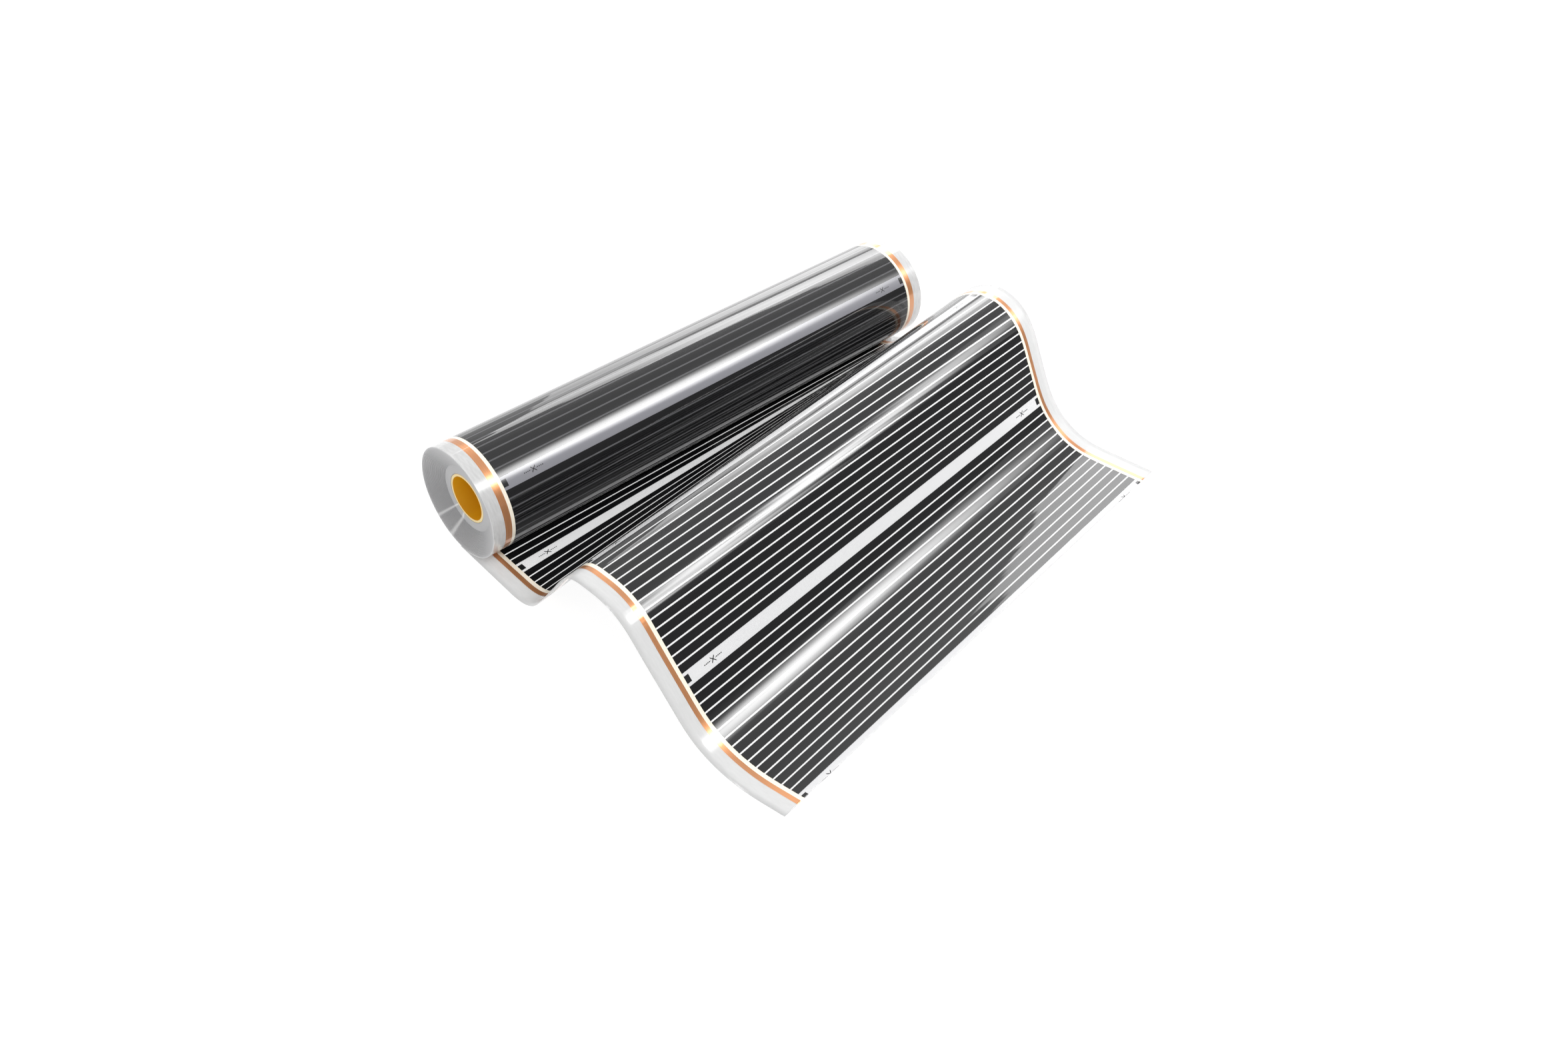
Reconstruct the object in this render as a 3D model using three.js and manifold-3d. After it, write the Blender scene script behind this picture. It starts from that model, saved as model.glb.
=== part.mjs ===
// Roll of infrared heating film on a core tube, with a loose length pulled out in front of it.
// Millimetres, +Z up, +Y along the roll, +X towards the cut end of the loose length.
// The wound turns and the loose length are one continuous laminate, so they are one solid.

import * as THREE from 'three';
import { mergeVertices } from 'three/addons/utils/BufferGeometryUtils.js';
import Module from 'manifold-3d';

// Film
const filmWidth = 1000;
const filmThickness = 0.34;
const looseLength = 850;

// The loose length starts just behind the foot of the roll and stands out a little at the near end
const startBehindFoot = 2;
const startStandOut = 1;

// Roll: the inner turns lie level in the end, and the outer ones stand out in small steps
const rollRadius = 95.5;
const endDish = 17.5;
const levelTurnsWidth = 15.5;
const endSteps = 8;

// The roll lies on its own loose length and is one with it there
const axisHeight = rollRadius + filmThickness / 2;

// Core tube
const coreBoreRadius = 38;
const coreWall = 4.5;
const coreClearance = 0.3;

// Facets
const roundSegments = 48;
const looseSteps = 64;
const acrossSteps = 8;

// Bends of the loose length, each centred at a place along the film and turning by some degrees.
// The far edge rises sooner and higher than the near one.
const nearBends = [
  { at: 179, over: 110, turn: 60 },
  { at: 362, over: 75, turn: -53 },
  { at: 461, over: 114, turn: -52.5 },
  { at: 691, over: 125, turn: 37 },
  { at: 770, over: 96, turn: 20 },
];
const farBends = [
  { at: 65, over: 82, turn: 57 },
  { at: 386, over: 251, turn: -116 },
  { at: 636, over: 143, turn: 37 },
  { at: 715, over: 95, turn: 27 },
];
const swingBends = [{ at: 476, over: 200, turn: 6 }];

const wasm = await Module();
wasm.setup();

function solidOf(geometry) {
  const bare = geometry.clone();
  bare.deleteAttribute('normal');
  bare.deleteAttribute('uv');
  const merged = mergeVertices(bare, 1e-4);
  return new wasm.Manifold(new wasm.Mesh({
    numProp: 3,
    vertProperties: new Float32Array(merged.attributes.position.array),
    triVerts: new Uint32Array(merged.index.array),
  }));
}

function geometryOf(solid) {
  const mesh = solid.getMesh();
  const geometry = new THREE.BufferGeometry();
  geometry.setAttribute('position', new THREE.BufferAttribute(new Float32Array(mesh.vertProperties), 3));
  geometry.setIndex(new THREE.BufferAttribute(new Uint32Array(mesh.triVerts), 1));
  geometry.computeVertexNormals();
  return geometry;
}

function named(name, geometry, color, roughness, metalness) {
  const mesh = new THREE.Mesh(geometry, new THREE.MeshStandardMaterial({ color, roughness, metalness }));
  mesh.name = name;
  return mesh;
}

function heading(bends, place) {
  const degrees = bends.reduce((sum, bend) => {
    const start = bend.at - bend.over / 2;
    return sum + bend.turn * THREE.MathUtils.smoothstep(place, start, start + bend.over);
  }, 0);
  return THREE.MathUtils.degToRad(degrees);
}

// Points along one edge of the loose length, from the foot of the roll to the cut end.
function edgeCurve(bends) {
  const step = looseLength / looseSteps;
  const points = [new THREE.Vector3(-startBehindFoot, -startStandOut, 0)];
  for (let i = 0; i < looseSteps; i += 1) {
    const place = (i + 0.5) * step;
    const up = heading(bends, place);
    const aside = heading(swingBends, place);
    const move = new THREE.Vector3(Math.cos(up) * Math.cos(aside), Math.cos(up) * Math.sin(aside), Math.sin(up));
    points.push(points[i].clone().addScaledVector(move, step));
  }
  return points;
}

// The far edge is the film's width away from the near one, straight across.
function looseEdges() {
  const near = edgeCurve(nearBends);
  const far = edgeCurve(farBends);
  far.forEach((point, i) => {
    const lag = Math.hypot(point.x - near[i].x, point.z - near[i].z);
    point.y = near[i].y + Math.sqrt(filmWidth ** 2 - lag ** 2);
  });
  return { near, far };
}

// A point of the loose length: steps along the film, share of its width, and rise above its underside.
function loosePoint({ near, far }, i, share, rise) {
  const before = Math.max(i - 1, 0);
  const after = Math.min(i + 1, looseSteps);
  const across = new THREE.Vector3().subVectors(far[i], near[i]);
  const along = new THREE.Vector3().lerpVectors(near[after], far[after], share);
  along.sub(new THREE.Vector3().lerpVectors(near[before], far[before], share));
  const point = new THREE.Vector3().lerpVectors(near[i], far[i], share);
  return point.addScaledVector(along.cross(across).normalize(), rise);
}

// The sheet's upper and lower face have the same triangles, so they stay a film's thickness apart
// where the film twists.
function looseLengthGeometry() {
  const edges = looseEdges();
  const face = new THREE.PlaneGeometry(1, 1, looseSteps, acrossSteps);
  const rowLength = looseSteps + 1;
  const faceCount = rowLength * (acrossSteps + 1);
  const points = [];
  for (const rise of [filmThickness, 0]) {
    for (let k = 0; k < faceCount; k += 1) {
      const share = 1 - Math.floor(k / rowLength) / acrossSteps;
      points.push(...loosePoint(edges, k % rowLength, share, rise).toArray());
    }
  }
  const upper = Array.from(face.index.array);
  const triangles = [...upper];
  for (let k = 0; k < upper.length; k += 3) {
    triangles.push(upper[k] + faceCount, upper[k + 2] + faceCount, upper[k + 1] + faceCount);
  }
  const rim = rimOf(rowLength, acrossSteps + 1);
  rim.forEach((here, k) => {
    const next = rim[(k + 1) % rim.length];
    triangles.push(here, next, next + faceCount);
    triangles.push(here, next + faceCount, here + faceCount);
  });
  const sheet = new THREE.BufferGeometry();
  sheet.setAttribute('position', new THREE.Float32BufferAttribute(points, 3));
  sheet.setIndex(triangles);
  return sheet;
}

// Numbers of the points round the rim of a grid, in order.
function rimOf(columns, rows) {
  const last = columns * rows - 1;
  const rim = [];
  for (let i = 0; i < columns - 1; i += 1) rim.push(i);
  for (let j = 0; j < rows - 1; j += 1) rim.push(columns - 1 + j * columns);
  for (let i = 0; i < columns - 1; i += 1) rim.push(last - i);
  for (let j = 0; j < rows - 1; j += 1) rim.push(last - (columns - 1) - j * columns);
  return rim;
}

// A closed section turned about the roll's axis, which runs along Y above the floor.
function turned(outline) {
  const closed = [...outline, outline[0].clone()];
  return new THREE.LatheGeometry(closed, roundSegments).translate(0, 0, axisHeight);
}

// Section of the wound turns. Every turn is as wide as the film, so what stands back
// at the near end stands out at the far end.
function woundGeometry() {
  const boreRadius = coreBoreRadius + coreWall + coreClearance;
  const levelRadius = boreRadius + levelTurnsWidth;
  const stepWidth = (rollRadius - levelRadius) / endSteps;
  const near = [new THREE.Vector2(boreRadius, endDish), new THREE.Vector2(levelRadius, endDish)];
  for (let i = 1; i <= endSteps; i += 1) {
    const depth = endDish * (1 - i / endSteps);
    near.push(new THREE.Vector2(levelRadius + stepWidth * (i - 1), depth));
    near.push(new THREE.Vector2(levelRadius + stepWidth * i, depth));
  }
  const far = near.map((point) => new THREE.Vector2(point.x, point.y + filmWidth)).reverse();
  return turned([...near, ...far]);
}

function heatingFilm() {
  const turns = solidOf(woundGeometry());
  const loose = solidOf(looseLengthGeometry());
  return geometryOf(turns.add(loose));
}

function coreTube() {
  const outer = coreBoreRadius + coreWall;
  return turned([
    new THREE.Vector2(coreBoreRadius, endDish),
    new THREE.Vector2(outer, endDish),
    new THREE.Vector2(outer, endDish + filmWidth),
    new THREE.Vector2(coreBoreRadius, endDish + filmWidth),
  ]);
}

const part = new THREE.Group();
part.add(named('heating_film', heatingFilm(), 0x28282a, 0.2, 0.0));
part.add(named('core_tube', coreTube(), 0xc08a12, 0.5, 0.0));

// The origin is below the middle of the whole part, on the floor.
const bounds = new THREE.Box3().setFromObject(part);
const middle = bounds.getCenter(new THREE.Vector3());
part.position.set(-middle.x, -middle.y, -bounds.min.z);

export default part;
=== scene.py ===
# A roll of infrared heating film on its core tube, with a loose length pulled out over a low hump.
# Metres, +Z up, +Y along the roll, +X towards the cut end of the loose length.

import math

import bmesh
import bpy
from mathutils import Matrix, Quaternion, Vector, noise


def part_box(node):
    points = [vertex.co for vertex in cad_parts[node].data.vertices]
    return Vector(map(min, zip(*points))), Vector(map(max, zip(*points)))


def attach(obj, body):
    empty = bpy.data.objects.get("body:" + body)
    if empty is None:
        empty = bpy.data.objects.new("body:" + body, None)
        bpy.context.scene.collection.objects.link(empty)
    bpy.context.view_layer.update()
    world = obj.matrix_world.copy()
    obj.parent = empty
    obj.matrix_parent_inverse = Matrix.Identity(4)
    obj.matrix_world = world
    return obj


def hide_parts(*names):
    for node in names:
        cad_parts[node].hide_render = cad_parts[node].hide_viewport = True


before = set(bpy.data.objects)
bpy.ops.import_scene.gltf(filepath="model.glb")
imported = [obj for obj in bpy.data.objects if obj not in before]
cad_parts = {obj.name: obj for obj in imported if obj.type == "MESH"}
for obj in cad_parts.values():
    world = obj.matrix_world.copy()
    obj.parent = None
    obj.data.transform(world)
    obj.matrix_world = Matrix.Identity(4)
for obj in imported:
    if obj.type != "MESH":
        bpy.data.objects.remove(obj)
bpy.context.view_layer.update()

scene = bpy.context.scene
scene.view_settings.view_transform = "Standard"


# Core tube: an extruded tube of amber plastic, sawn to the film's width and open at both ends.
# The film is wound tight on it, and that alone holds it.
film_width = 1.0
tube_inner = 0.038
tube_outer = 0.0425
rim_rounding = 0.0006
tube_steps = 96

tube_low, tube_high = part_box("core_tube")
axis_x = (tube_low.x + tube_high.x) / 2
axis_z = (tube_low.z + tube_high.z) / 2


def colour(code):
    """A colour from its sRGB hex code, as linear numbers."""
    shares = [int(code[i : i + 2], 16) / 255 for i in (0, 2, 4)]
    linear = [s / 12.92 if s <= 0.04045 else ((s + 0.055) / 1.055) ** 2.4 for s in shares]
    return (*linear, 1.0)


def add(tree, kind, inputs=None, output=0, **settings):
    """Adds a node and gives back one of its outputs. Each input is a value, or the output it is
    linked from."""
    node = tree.nodes.new(kind)
    for name, value in settings.items():
        setattr(node, name, value)
    for name, value in (inputs or {}).items():
        socket = node.inputs[name]
        if isinstance(value, bpy.types.NodeSocket):
            tree.links.new(value, socket)
        else:
            socket.default_value = value
    return node.outputs[output] if node.outputs else None


def new_material(name):
    material = bpy.data.materials.new(name)
    material.use_nodes = True
    material.node_tree.nodes.clear()
    return material


def turned(section, start, steps):
    """A mesh from a closed section of (radius, depth) points, turned about the roll's axis."""
    maker = bmesh.new()
    points = [maker.verts.new((axis_x + radius, start + depth, axis_z))
              for radius, depth in section]
    edges = [maker.edges.new((points[i - 1], points[i])) for i in range(len(points))]
    bmesh.ops.spin(maker, geom=points + edges, cent=(axis_x, 0, axis_z), axis=(0, 1, 0),
                   angle=2 * math.pi, steps=steps, use_merge=True)
    bmesh.ops.remove_doubles(maker, verts=maker.verts[:], dist=1e-6)
    bmesh.ops.recalc_face_normals(maker, faces=maker.faces[:])
    return maker


def object_from(name, maker, materials):
    """An object at the origin from a finished mesh. It rides on the part's only body."""
    mesh = bpy.data.meshes.new(name)
    maker.to_mesh(mesh)
    maker.free()
    made = bpy.data.objects.new(name, mesh)
    scene.collection.objects.link(made)
    for material in materials:
        mesh.materials.append(material)
    for face in mesh.polygons:
        face.use_smooth = True
    mesh.set_sharp_from_angle(angle=math.radians(30))
    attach(made, "root")
    return made


def amber_plastic(name, light, dark, roughness):
    """Waxy plastic that light goes a little way into. Faint lighter and darker streaks run along
    it, about
    55 mm wide and 400 mm long: painted shade, for the uneven light inside the tube."""
    material = new_material(name)
    tree = material.node_tree
    place = add(tree, "ShaderNodeTexCoord", output="Object")
    stretched = add(tree, "ShaderNodeMapping", {"Vector": place, "Scale": (18.0, 2.5, 18.0)})
    patchy_shade = add(tree, "ShaderNodeTexNoise", {"Vector": stretched, "Scale": 1.0, "Detail": 3.0})
    base = add(tree, "ShaderNodeMix", {0: patchy_shade, 6: colour(dark), 7: colour(light)}, output=2,
               data_type="RGBA")
    shader = add(tree, "ShaderNodeBsdfPrincipled", {
        "Base Color": base, "Roughness": roughness, "IOR": 1.5, "Subsurface Weight": 0.25,
        "Subsurface Radius": (0.008, 0.004, 0.001), "Subsurface Scale": 1.0})
    add(tree, "ShaderNodeOutputMaterial", {"Surface": shader})
    return material


tube_section = [(tube_inner, 0.0), (tube_outer, 0.0), (tube_outer, film_width),
                (tube_inner, film_width)]
core = turned(tube_section, tube_low.y, tube_steps)
rims = [edge for edge in core.edges if len(edge.link_faces) == 2 and edge.calc_face_angle() > 1]
bmesh.ops.bevel(core, geom=rims, offset=rim_rounding, offset_type="OFFSET", affect="EDGES",
                segments=2, profile=0.5, material=-1)
for face in core.faces:
    face.material_index = 1 if abs(face.normal.y) > 0.5 else 0
core_tube = object_from("core", core, [
    amber_plastic("extruded_amber_plastic", "efb41a", "cc900c", 0.3),
    amber_plastic("sawn_amber_plastic", "f0dcab", "e3c88c", 0.6)])
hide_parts("core_tube")


# Wound turns: about 155 turns of one 0.34 mm laminate, clear polyester over printed carbon strips
# with a copper busbar near each edge. It is wound tight by machine. The inner turns lie level in
# the near end, and the outer ones stand out, each a little further.
end_dish = 0.0175
roll_radius = 0.0955
bore_radius = 0.0428
level_turns_width = 0.0155
end_steps = 24
round_steps = 240
length_steps = 50
near_face = tube_low.y - end_dish

# Where the film leaves the roll, and how far the print on the roll is turned on against the rest
foot_place = 0.002
turned_on = 0.026

# How far round from the top the ripples begin to die out, in radians, and what is left of them
ripples_to = 1.2
ripples_fade = 0.6
ripples_left = 0.15

# Print, in millimetres. It repeats along the film: a band to cut in, then fifteen carbon strips.
print_repeat = 250.0
first_band = 89.05
band_width = 21.9
strip_pitch = 15.4
strip_width = 12.9

# Register mark at the end of each band, and cut mark: a line of dashes with a cross in it
mark_length = 9.0
mark_half_width = 6.0
cross_place = 97.0
cross_arm = 4.2
dash_pitch = 3.2
dash_length = 1.9
dashes_from = 4.6
dashes_to = 18.0
dash_half_width = 0.75


def streak(along, across):
    """How far the film stands off its smooth shape, in metres: ripples parallel to the roll that
    run into one another, broad ones about 70 mm apart and narrow ones about 20 mm apart."""
    broad = noise.noise(Vector((along * 14, across * 0.7, 3.7)))
    narrow = noise.noise(Vector((along * 50, across * 1.3, 8.2)))
    return 0.0002 * broad + 0.00009 * narrow


def printed_laminate(name, copper_from, copper_to, strips_from, gap, band, margin, margin_light,
                     clear_alpha, gap_alpha, ripples_at, ripples_width):
    """Polyester laminated over its print between hot rollers: black strips, dull copper and cream
    under one clear skin, as shiny as if wet. The map "film" gives the place across and along it,
    in metres. copper_from, copper_to and strips_from are in millimetres from each edge. The gap,
    band and margin colours are those of what lies below, and an alpha below 1 lets it show."""
    material = new_material(name)
    tree = material.node_tree
    film = add(tree, "ShaderNodeUVMap", uv_map="film")
    place = add(tree, "ShaderNodeSeparateXYZ", {"Vector": film}).node.outputs

    # Each step is a name, an operation and two numbers or the names of earlier steps
    share = {"x": place["X"], "y": place["Y"]}
    for step, operation, first, second in (
            ("across", "MULTIPLY", "x", 1000.0),
            ("along", "MULTIPLY", "y", 1000.0),
            ("from_far_edge", "SUBTRACT", 1000.0, "across"),
            ("from_edge", "MINIMUM", "across", "from_far_edge"),
            ("past_clear", "GREATER_THAN", "from_edge", copper_from),
            ("past_copper", "GREATER_THAN", "from_edge", copper_to),
            ("past_cream", "GREATER_THAN", "from_edge", strips_from),
            # Bands and strips
            ("from_band", "SUBTRACT", "along", first_band),
            ("in_repeat", "FLOORED_MODULO", "from_band", print_repeat),
            ("past_band", "GREATER_THAN", "in_repeat", band_width),
            ("from_strip", "SUBTRACT", "in_repeat", band_width),
            ("in_pitch", "FLOORED_MODULO", "from_strip", strip_pitch),
            ("in_strip", "LESS_THAN", "in_pitch", strip_width),
            ("on_strip", "MULTIPLY", "in_strip", "past_band"),
            # Register marks
            ("past_line", "SUBTRACT", "in_repeat", band_width / 2),
            ("off_line", "ABSOLUTE", "past_line", 0.0),
            ("mark_rows", "LESS_THAN", "off_line", mark_half_width),
            ("mark_end", "LESS_THAN", "from_edge", strips_from + mark_length),
            ("mark_columns", "MULTIPLY", "mark_end", "past_cream"),
            ("on_mark", "MULTIPLY", "mark_rows", "mark_columns"),
            # Cut marks: dashes on both sides of the cross
            ("past_cross", "SUBTRACT", "from_edge", cross_place),
            ("from_cross", "ABSOLUTE", "past_cross", 0.0),
            ("in_dash_pitch", "FLOORED_MODULO", "from_cross", dash_pitch),
            ("in_dash", "LESS_THAN", "in_dash_pitch", dash_length),
            ("dash_rows", "LESS_THAN", "off_line", dash_half_width),
            ("dash_end", "LESS_THAN", "from_cross", dashes_to),
            ("dash_start", "GREATER_THAN", "from_cross", dashes_from),
            ("dash_columns", "MULTIPLY", "dash_end", "dash_start"),
            ("dash_shape", "MULTIPLY", "dash_rows", "in_dash"),
            ("on_dash", "MULTIPLY", "dash_shape", "dash_columns"),
            ("past_diagonal", "SUBTRACT", "off_line", "from_cross"),
            ("off_diagonal", "ABSOLUTE", "past_diagonal", 0.0),
            ("on_diagonal", "LESS_THAN", "off_diagonal", 1.0),
            ("in_arm", "LESS_THAN", "from_cross", cross_arm),
            ("on_cross", "MULTIPLY", "on_diagonal", "in_arm"),
            ("on_cut_mark", "MAXIMUM", "on_dash", "on_cross"),
            ("on_black", "MAXIMUM", "on_mark", "on_cut_mark"),
            # Copper shines as metal. What has no print on it is partly seen through.
            ("is_copper", "SUBTRACT", "past_clear", "past_copper"),
            ("metallic", "MULTIPLY", "is_copper", 0.6),
            ("is_clear", "SUBTRACT", 1.0, "past_clear"),
            ("is_printed", "MAXIMUM", "on_strip", "on_black"),
            ("unprinted", "SUBTRACT", 1.0, "is_printed"),
            ("is_gap", "MULTIPLY", "past_cream", "unprinted"),
            ("lost_in_clear", "MULTIPLY", "is_clear", 1 - clear_alpha),
            ("lost_in_gaps", "MULTIPLY", "is_gap", 1 - gap_alpha),
            ("lost", "ADD", "lost_in_clear", "lost_in_gaps"),
            ("alpha", "SUBTRACT", 1.0, "lost"),
            ("past_crest", "SUBTRACT", "y", ripples_at),
            ("from_crest", "ABSOLUTE", "past_crest", 0.0)):
        share[step] = add(tree, "ShaderNodeMath", {
            0: share.get(first, first), 1: share.get(second, second)}, operation=operation)

    # Ink lies unevenly in patches of 17 by 2.5 mm, and copper foil has rolling streaks 1 by 110 mm.
    # The clear margins are mottled in patches of 4 by 17 mm. Fine ripples are 10 mm apart and over
    # half a metre long.
    grain = {}
    for use, across_scale, along_scale, detail in (
            ("ink", 60.0, 400.0, 3.0), ("copper", 900.0, 9.0, 2.0),
            ("margin", 260.0, 60.0, 3.0), ("ripples", 1.8, 95.0, 1.0)):
        stretched = add(tree, "ShaderNodeMapping", {
            "Vector": film, "Scale": (across_scale, along_scale, 1.0)})
        grain[use] = add(tree, "ShaderNodeTexNoise", {
            "Vector": stretched, "Scale": 1.0, "Detail": detail, "Roughness": 0.5})

    # Each layer is a name, a share, and a colour or an earlier layer where the share is 0 and 1
    layers = {}
    for layer, by, where_0, where_1 in (
            ("ink", grain["ink"], "0e0e0f", "171719"),
            ("copper", grain["copper"], "c27d4c", "dea275"),
            ("clear", grain["margin"], margin, margin_light),
            ("unprinted", share["past_band"], band, gap),
            ("strips", share["on_strip"], "unprinted", "ink"),
            ("marked", share["on_black"], "strips", "1b1b1d"),
            ("past_copper", share["past_cream"], "f6eedd", "marked"),
            ("past_clear", share["past_copper"], "copper", "past_copper"),
            ("base", share["past_clear"], "clear", "past_clear")):
        layers[layer] = add(tree, "ShaderNodeMix", {
            0: by, 6: layers[where_0] if where_0 in layers else colour(where_0),
            7: layers[where_1] if where_1 in layers else colour(where_1)},
            output=2, data_type="RGBA")

    # Ripples are strongest on a crest, where the film is bent
    height = add(tree, "ShaderNodeMapRange", {
        "Value": share["from_crest"], "From Min": ripples_width, "From Max": ripples_width * 0.4,
        "To Min": 0.00006, "To Max": 0.0005}, interpolation_type="SMOOTHSTEP")
    bump = add(tree, "ShaderNodeBump", {
        "Height": grain["ripples"], "Strength": 1.0, "Distance": height})
    shader = add(tree, "ShaderNodeBsdfPrincipled", {
        "Base Color": layers["base"], "Roughness": 0.3, "Metallic": share["metallic"],
        "Specular IOR Level": 0.1, "Coat Weight": 1.0, "Coat Roughness": 0.035, "Coat IOR": 1.55,
        "Normal": bump, "Coat Normal": bump})
    if clear_alpha < 1:
        tree.links.new(share["alpha"], shader.node.inputs["Alpha"])
    add(tree, "ShaderNodeOutputMaterial", {"Surface": shader})
    return material


def slit_edges():
    """Slit edges of many clear turns, one on another: milky grey, with fine rings that shine in a
    streak across them. The real rings, a third of a millimetre apart, are too fine to show, so
    they are drawn about 1.4 mm apart."""
    material = new_material("slit_polyester_edges")
    tree = material.node_tree
    place = add(tree, "ShaderNodeTexCoord", output="Object")
    centred = add(tree, "ShaderNodeVectorMath", {0: place, 1: (axis_x, 0.0, axis_z)},
                  operation="SUBTRACT")
    flat = add(tree, "ShaderNodeVectorMath", {0: centred, 1: (1.0, 0.0, 1.0)}, operation="MULTIPLY")
    radius = add(tree, "ShaderNodeVectorMath", {0: flat}, output="Value", operation="LENGTH")
    round_about = add(tree, "ShaderNodeVectorMath", {0: flat, 1: (0.0, 1.0, 0.0)},
                      operation="CROSS_PRODUCT")
    tangent = add(tree, "ShaderNodeVectorMath", {0: round_about}, operation="NORMALIZE")
    rings = add(tree, "ShaderNodeTexNoise", {"W": radius, "Scale": 700.0, "Detail": 3.0},
                noise_dimensions="1D")
    cloud = add(tree, "ShaderNodeTexNoise", {"Vector": centred, "Scale": 16.0, "Detail": 2.0})

    # Pale next to the core, darkest where the turns begin to stand out, and pale again at the rim.
    # The pale rim is a painted highlight on the outer turns.
    outwards = add(tree, "ShaderNodeMapRange", {
        "Value": radius, "From Min": bore_radius, "From Max": roll_radius})
    tone_and_rim_highlight = add(tree, "ShaderNodeValToRGB", {"Fac": outwards})
    ramp = tone_and_rim_highlight.node.color_ramp
    stops = [(0.0, "9a9a9b"), (0.05, "c4c4c4"), (0.25, "c0c0c0"), (0.3, "989899"),
             (0.62, "a2a2a3"), (0.9, "bababa"), (0.96, "e6e6e6"), (1.0, "fafafa")]
    for stop, _ in stops[1:-1]:
        ramp.elements.new(stop)
    for element, (stop, code) in zip(ramp.elements, stops):
        element.position = stop
        element.color = colour(code)
    ringed = add(tree, "ShaderNodeMix", {0: rings, 6: tone_and_rim_highlight, 7: colour("b2b2b3")}, output=2,
                 data_type="RGBA")
    base = add(tree, "ShaderNodeMix", {0: cloud, 6: ringed, 7: colour("a0a0a2")}, output=2,
               data_type="RGBA")

    # Two pale streaks run out from the core. They are painted highlights, where the rings would
    # catch the light.
    parts = add(tree, "ShaderNodeSeparateXYZ", {"Vector": centred}).node.outputs
    bearing = add(tree, "ShaderNodeMath", {0: parts["Z"], 1: parts["X"]}, operation="ARCTAN2")
    for highlight_at, highlight_width in ((-2.286, 0.05), (-1.885, 0.075)):
        past = add(tree, "ShaderNodeMath", {0: bearing, 1: highlight_at}, operation="SUBTRACT")
        off = add(tree, "ShaderNodeMath", {0: past}, operation="ABSOLUTE")
        painted_streak = add(tree, "ShaderNodeMapRange", {
            "Value": off, "From Max": highlight_width, "To Min": 0.75, "To Max": 0.0},
            interpolation_type="SMOOTHSTEP")
        base = add(tree, "ShaderNodeMix", {0: painted_streak, 6: base, 7: colour("e2e2e2")}, output=2,
                   data_type="RGBA")
    bump = add(tree, "ShaderNodeBump", {"Height": rings, "Strength": 0.6, "Distance": 0.0004})
    shader = add(tree, "ShaderNodeBsdfPrincipled", {
        "Base Color": base, "Roughness": 0.3, "IOR": 1.5, "Normal": bump, "Anisotropic": 0.8,
        "Tangent": tangent, "Subsurface Weight": 0.3,
        "Subsurface Radius": (0.006, 0.006, 0.006), "Subsurface Scale": 1.0})
    add(tree, "ShaderNodeOutputMaterial", {"Surface": shader})
    return material


level_radius = bore_radius + level_turns_width
step_width = (roll_radius - level_radius) / end_steps
section = [(bore_radius, end_dish), (level_radius, end_dish)]
for i in range(1, end_steps + 1):
    depth = end_dish * (1 - i / end_steps)
    stepped = level_radius + step_width * i
    section += [(stepped - step_width, depth), (stepped, depth)]
far_section = [(radius, depth + film_width) for radius, depth in reversed(section)]
section += [(roll_radius, film_width * i / length_steps) for i in range(1, length_steps)]
section += far_section
wound = turned(section, near_face, round_steps)
film_map = wound.loops.layers.uv.new("film")
for face in wound.faces:
    middle = face.calc_center_median()
    out = math.hypot(middle.x - axis_x, middle.z - axis_z)
    turn = math.atan2(axis_x - middle.x, axis_z - middle.z) % (2 * math.pi)
    face.material_index = 0 if out > roll_radius - 0.001 and abs(face.normal.y) < 0.5 else 1
    for loop in face.loops:
        here = math.atan2(axis_x - loop.vert.co.x, axis_z - loop.vert.co.z) % (2 * math.pi)
        if abs(here - turn) > math.pi:
            here += 2 * math.pi if here < turn else -2 * math.pi
        along = foot_place - turned_on - roll_radius * here
        loop[film_map].uv = (loop.vert.co.y - near_face, along)

# The outer turn is rippled on top, and drawn tight lower down
for vert in wound.verts:
    out = Vector((vert.co.x - axis_x, 0, vert.co.z - axis_z))
    if out.length > roll_radius - 0.0001:
        turn = math.atan2(out.x, out.z)
        wave_place = Vector((math.cos(turn) * 1.5, math.sin(turn) * 1.5, vert.co.y * 1.1 + 5.0))
        ripple = noise.noise(wave_place) * 0.0002 + 1.6 * streak(roll_radius * turn, vert.co.y)
        faded = min(max((abs(turn) - ripples_to) / ripples_fade, 0), 1)
        vert.co += out.normalized() * ripple * (1 - (1 - ripples_left) * faded)
wound_turns = object_from("wound_turns", wound, [
    printed_laminate("wound_printed_polyester_laminate", copper_from=21.5, copper_to=33.5,
                     strips_from=39.5, gap="545456", band="88888e", margin="b2b2b2",
                     margin_light="d8d8d8", clear_alpha=1, gap_alpha=1, ripples_at=-0.27,
                     ripples_width=0.1),
    slit_edges()])
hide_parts("heating_film")


# Loose length: the free end of the same laminate. It leaves the underside of the roll, rises over
# a hump that is higher at the far edge, dips to the floor and ends in a square cut through a band.
# Nothing holds it but its own stiffness.
film_thickness = 0.00034
loose_length = 0.850
along_steps = 340
across_steps = 80
stand_out = 0.001

# So that its ripples aren't those of the roll
ripples_apart = 1.3

# Bends along each edge, as place and length in millimetres and turn in degrees
near_bends = [(179, 110, 60), (362, 75, -53), (461, 114, -52.5), (691, 125, 37), (770, 96, 20)]
far_bends = [(65, 82, 57), (386, 251, -116), (636, 143, 37), (715, 95, 27)]
swing_bends = [(476, 200, 6)]


def heading(bends, place_mm):
    """The film's direction at a place along it, in radians."""
    degrees = 0.0
    for centre, length, turn_by in bends:
        share = min(max((place_mm - centre) / length + 0.5, 0.0), 1.0)
        degrees += turn_by * share * share * (3 - 2 * share)
    return math.radians(degrees)


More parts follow.
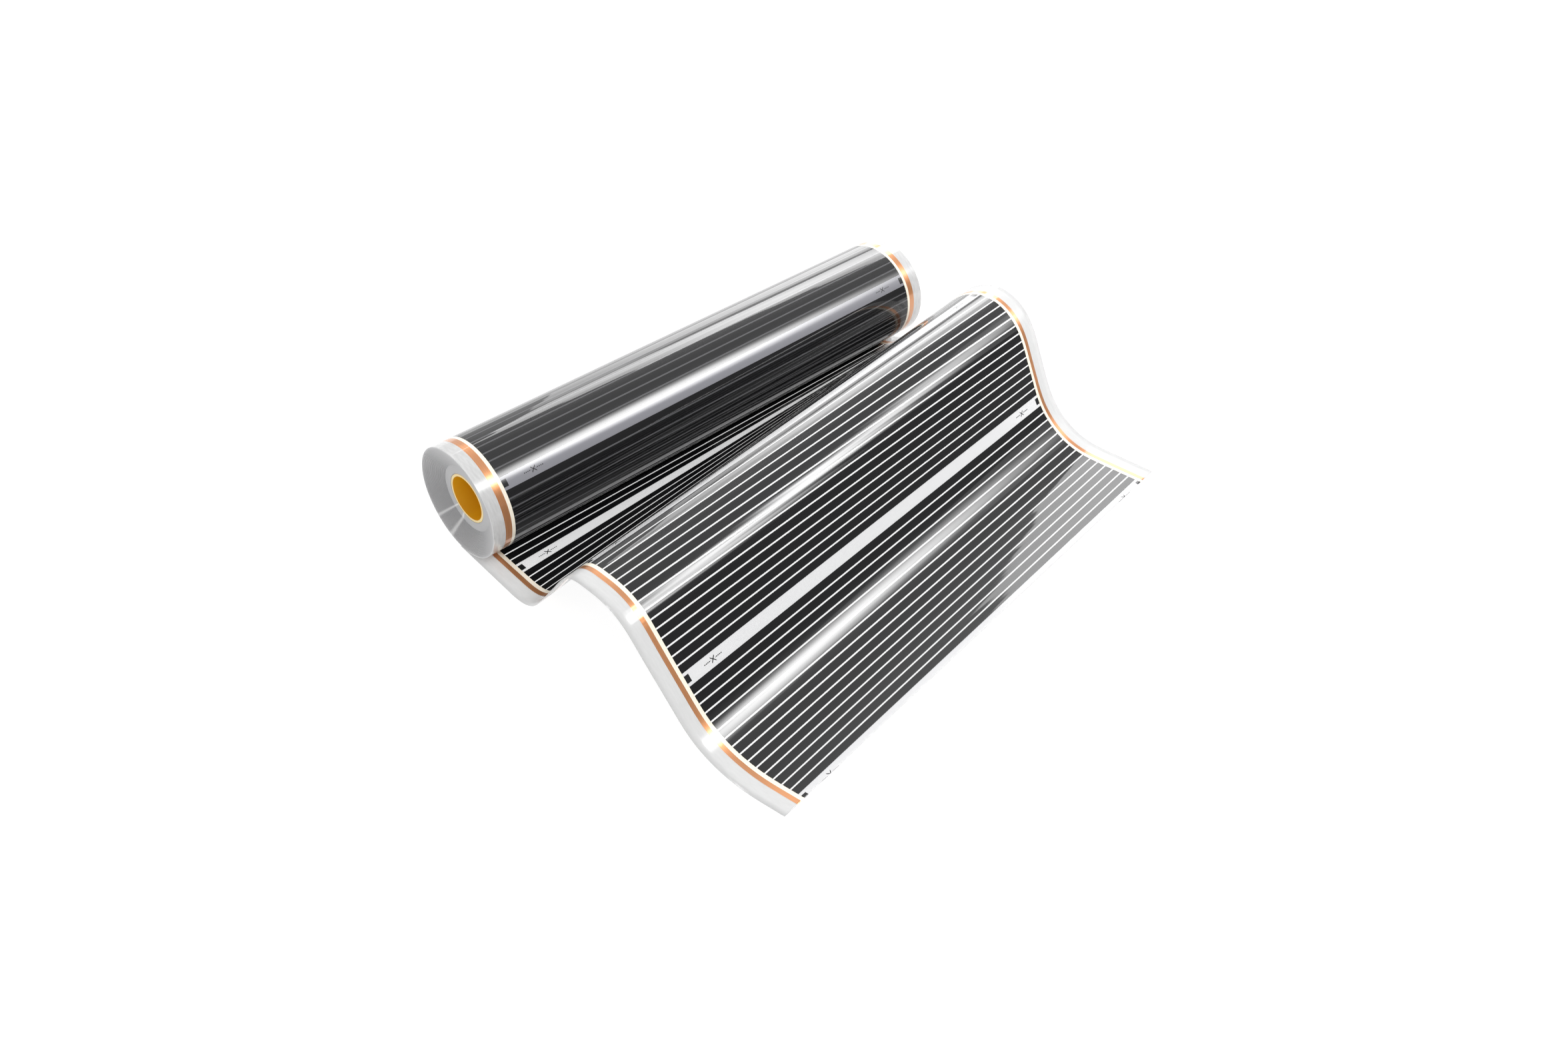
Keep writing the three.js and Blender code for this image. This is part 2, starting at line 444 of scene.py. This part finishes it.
def edge_curve(bends):
    """Points along one edge, from the foot of the roll to the cut end."""
    step = loose_length / along_steps
    curve = [Vector((axis_x - foot_place, near_face - stand_out, 0.0))]
    for i in range(along_steps):
        place_mm = (i + 0.5) * step * 1000
        rise, aside = heading(bends, place_mm), heading(swing_bends, place_mm)
        level = math.cos(rise)
        move = Vector((level * math.cos(aside), level * math.sin(aside), math.sin(rise)))
        curve.append(curve[-1] + move * step)
    return curve


# The far edge is the film's width away from the near one, straight across
near_edge, far_edge = edge_curve(near_bends), edge_curve(far_bends)
for near, far in zip(near_edge, far_edge):
    far.y = near.y + math.sqrt(film_width**2 - (far.x - near.x) ** 2 - (far.z - near.z) ** 2)
loose = bmesh.new()
bmesh.ops.create_grid(loose, x_segments=along_steps, y_segments=across_steps, size=0.5)
film_map = loose.loops.layers.uv.new("film")
for face in loose.faces:
    for loop in face.loops:
        flat = loop.vert.co
        loop[film_map].uv = (flat.y + 0.5, (flat.x + 0.5) * loose_length)
for vert in loose.verts:
    share = vert.co.y + 0.5
    i = round((vert.co.x + 0.5) * along_steps)
    before, after = max(i - 1, 0), min(i + 1, along_steps)
    onward = near_edge[after].lerp(far_edge[after], share)
    onward -= near_edge[before].lerp(far_edge[before], share)
    up = onward.cross(far_edge[i] - near_edge[i]).normalized()
    vert.co = near_edge[i].lerp(far_edge[i], share)
    vert.co += up * streak(i * loose_length / along_steps + ripples_apart, share)
    vert.co.z = max(vert.co.z, 0.0)
# The light grey of the loose length's band is painted shade, for the floor in shadow seen through
# the clear band.
loose_sheet = object_from("loose_length", loose, [
    printed_laminate("printed_polyester_laminate", copper_from=26.5, copper_to=34.5,
                     strips_from=41, gap="f4f4f4", band="ccccce", margin="d0d0d0",
                     margin_light="dedede", clear_alpha=0.6, gap_alpha=0.3, ripples_at=0.45,
                     ripples_width=0.13)])
thickness = loose_sheet.modifiers.new("film_thickness", "SOLIDIFY")
thickness.thickness = film_thickness
thickness.offset = 1
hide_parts("heating_film")


# Floor: a plain white studio floor. It gives off some light itself, so that it stays white and
# nearly without shadow.
floor_mesh = bmesh.new()
bmesh.ops.create_grid(floor_mesh, x_segments=1, y_segments=1, size=30)
floor_data = bpy.data.meshes.new("floor")
floor_mesh.to_mesh(floor_data)
floor_mesh.free()
floor = bpy.data.objects.new("floor", floor_data)
scene.collection.objects.link(floor)
floor_material = new_material("white_floor")
floor_shader = add(floor_material.node_tree, "ShaderNodeBsdfPrincipled", {
    "Base Color": colour("747474"), "Roughness": 0.9, "Specular IOR Level": 0.0,
    "Emission Color": colour("ffffff"), "Emission Strength": 0.92})
add(floor_material.node_tree, "ShaderNodeOutputMaterial", {"Surface": floor_shader})
floor_data.materials.append(floor_material)


# Light: a white room that is darker on one side, two softboxes behind the roll, a long slanting
# one on the right and a small one in front. Their reflections are the bright streaks in the film.
dark_side = (0.766, 0.643, 0.0)
world = bpy.data.worlds.new("room")
world.use_nodes = True
room = world.node_tree
looking = add(room, "ShaderNodeTexCoord", output="Generated")
to_dark_side = add(room, "ShaderNodeVectorMath", {0: looking, 1: dark_side}, output="Value",
                   operation="DOT_PRODUCT")
room_tone = add(room, "ShaderNodeMapRange", {
    "Value": to_dark_side, "From Min": 0.55, "From Max": 0.85, "To Min": 0.75, "To Max": 0.22})
room.nodes["Background"].inputs["Color"].default_value = colour("ffffff")
room.links.new(room_tone, room.nodes["Background"].inputs["Strength"])
scene.world = world


def softbox(name, azimuth, elevation, width, height, centre, rim, roll=0):
    """A softbox 4 m away that faces the part, brighter in its centre than at its rim.
    Azimuth is from +Y towards +X, in degrees. It shows only in reflections."""
    lamp = bpy.data.lights.new(name, "AREA")
    lamp.shape = "RECTANGLE"
    lamp.size, lamp.size_y = width, height
    lamp.energy = math.pi * width * height
    lamp.use_nodes = True
    tree = lamp.node_tree
    place = add(tree, "ShaderNodeNewGeometry", output="Parametric")
    centred = add(tree, "ShaderNodeVectorMath", {0: place, 1: (0.5, 0.5, 0.0)},
                  operation="SUBTRACT")
    flat = add(tree, "ShaderNodeVectorMath", {0: centred, 1: (1.0, 1.0, 0.0)}, operation="MULTIPLY")
    off_centre = add(tree, "ShaderNodeVectorMath", {0: flat}, output="Value", operation="LENGTH")
    glow = add(tree, "ShaderNodeMapRange", {
        "Value": off_centre, "From Min": 0.0, "From Max": 0.5, "To Min": centre, "To Max": rim},
        interpolation_type="SMOOTHSTEP")
    tree.links.new(glow, tree.nodes["Emission"].inputs["Strength"])
    box = bpy.data.objects.new(name, lamp)
    a, e = math.radians(azimuth), math.radians(elevation)
    away = Vector((math.sin(a) * math.cos(e), math.cos(a) * math.cos(e), math.sin(e)))
    box.location = away * 4
    facing = away.to_track_quat("Z", "Y") @ Quaternion((0, 0, 1), math.radians(roll))
    box.rotation_euler = facing.to_euler()
    box.visible_camera = False
    scene.collection.objects.link(box)


softbox("softbox_back", azimuth=-43, elevation=33, width=3.4, height=1.3, centre=8, rim=4)
softbox("softbox_back_low", azimuth=-48, elevation=9, width=3.0, height=1.5, centre=2.5, rim=1.5)
softbox("softbox_right", azimuth=43, elevation=50, width=4.0, height=1.8, centre=19, rim=0.6,
        roll=-42)
softbox("softbox_front", azimuth=-170, elevation=30, width=0.8, height=1.4, centre=9, rim=3)


# Camera: it stands to the right of the roll's near end and looks down at about 44 degrees, a
# little turned about its own line of sight.
camera_data = bpy.data.cameras.new("camera")
camera_data.sensor_width = 36
camera_data.lens = 28.747
camera = bpy.data.objects.new("camera", camera_data)
camera.location = (0.956285, -1.24523, 1.474765)
camera.rotation_euler = [math.radians(angle) for angle in (45.65796, -5.74154, 45.15613)]
scene.collection.objects.link(camera)
scene.camera = camera
